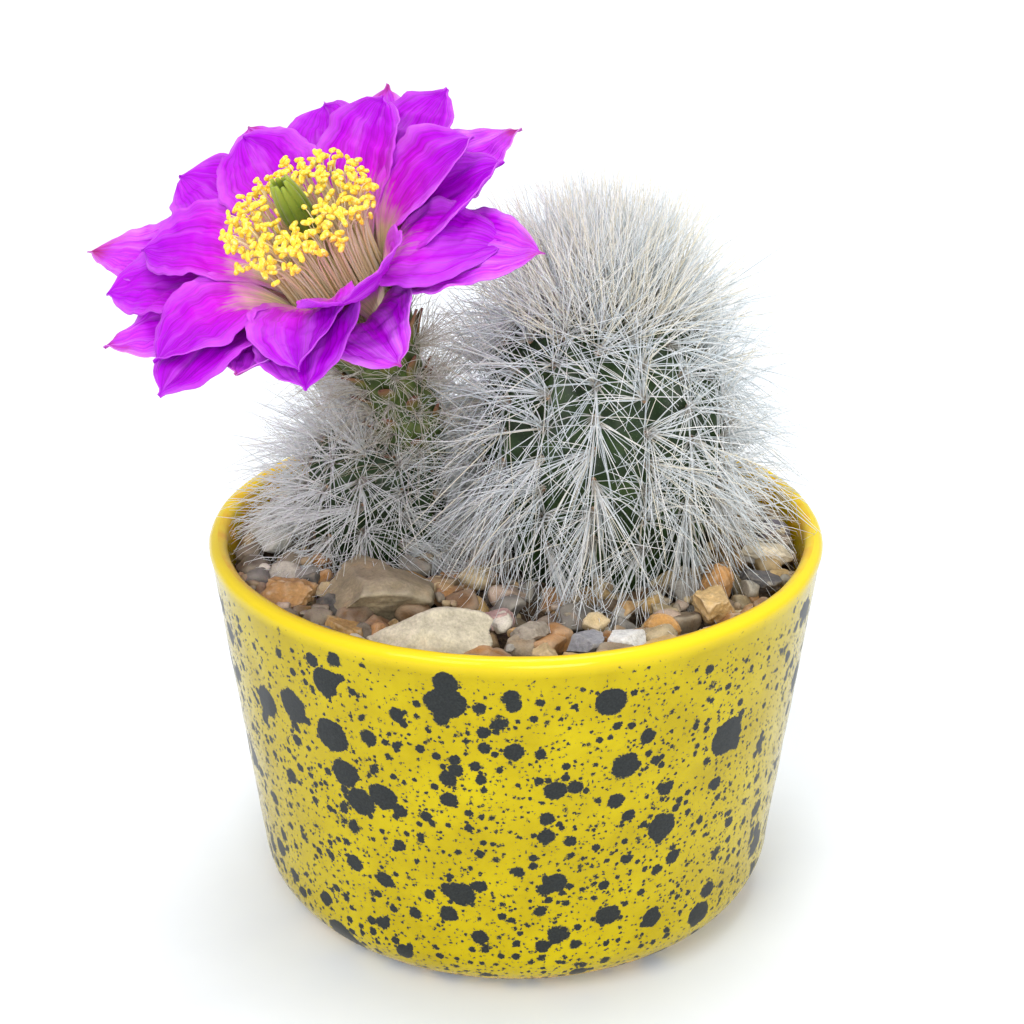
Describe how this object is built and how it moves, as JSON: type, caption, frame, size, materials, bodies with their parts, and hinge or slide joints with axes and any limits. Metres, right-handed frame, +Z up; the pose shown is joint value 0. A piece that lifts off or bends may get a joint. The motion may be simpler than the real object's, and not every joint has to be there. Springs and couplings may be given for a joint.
{
  "type": "potted round cactus",
  "caption": "Round ribbed cactus with a dense coat of fine white spines, a small offset and one open magenta flower, in a speckled yellow glazed pot topped with gravel.",
  "frame": {"origin": "centre of the pot's flat underside, on the surface it stands on", "axes": "+Z up along the pot's axis; the main stem stands towards +X, the flower leans towards -X and the front (-Y)"},
  "size_m": [0.112, 0.1, 0.1342],
  "materials": {
    "glazed_stoneware": "gloss",
    "potting_mix": "matte",
    "gravel": "matte",
    "pale_stone": "matte",
    "tan_stone": "matte",
    "grey_stone": "matte",
    "cactus_skin": "satin",
    "spines": "satin",
    "flower_tube": "satin",
    "outer_tepals": "satin",
    "petals": "satin",
    "stamens": "matte",
    "stigma": "satin"
  },
  "bodies": {
    "root": {"pot": "glazed_stoneware", "potting_mix": "potting_mix", "gravel_bed": "gravel", "main_stem": "cactus_skin", "offset_stem": "cactus_skin", "main_spines": "spines", "offset_spines": "spines", "flower_tube": "flower_tube", "limestone_front": "pale_stone", "sandstone_slab": "pale_stone", "pale_rock_left": "pale_stone", "crumbly_brown_stone": "tan_stone", "ochre_splinter": "tan_stone", "grey_quartz": "grey_stone", "tan_pebble_front": "tan_stone", "grey_pebble_front": "grey_stone", "white_pebble_front": "pale_stone", "pink_chip": "tan_stone", "orange_oval": "tan_stone", "tan_lump_right": "tan_stone", "tall_orange_stone": "tan_stone", "dark_grey_chip": "grey_stone", "pale_chip_right": "pale_stone", "slate_chip_right": "grey_stone", "tan_stone_right": "tan_stone", "grey_rock_back_right": "grey_stone", "buff_rock_back": "tan_stone", "rust_stone_back_left": "tan_stone", "outer_tepal_1": "outer_tepals", "outer_tepal_2": "outer_tepals", "outer_tepal_3": "outer_tepals", "outer_tepal_4": "outer_tepals", "outer_tepal_5": "outer_tepals", "outer_tepal_6": "outer_tepals", "outer_tepal_7": "outer_tepals", "outer_tepal_8": "outer_tepals", "middle_petal_1": "petals", "middle_petal_2": "petals", "middle_petal_3": "petals", "middle_petal_4": "petals", "middle_petal_5": "petals", "middle_petal_6": "petals", "middle_petal_7": "petals", "middle_petal_8": "petals", "inner_petal_1": "petals", "inner_petal_2": "petals", "inner_petal_3": "petals", "inner_petal_4": "petals", "inner_petal_5": "petals", "inner_petal_6": "petals", "inner_petal_7": "petals", "stamens": "stamens", "pistil": "stigma"}
  },
  "joints": []
}
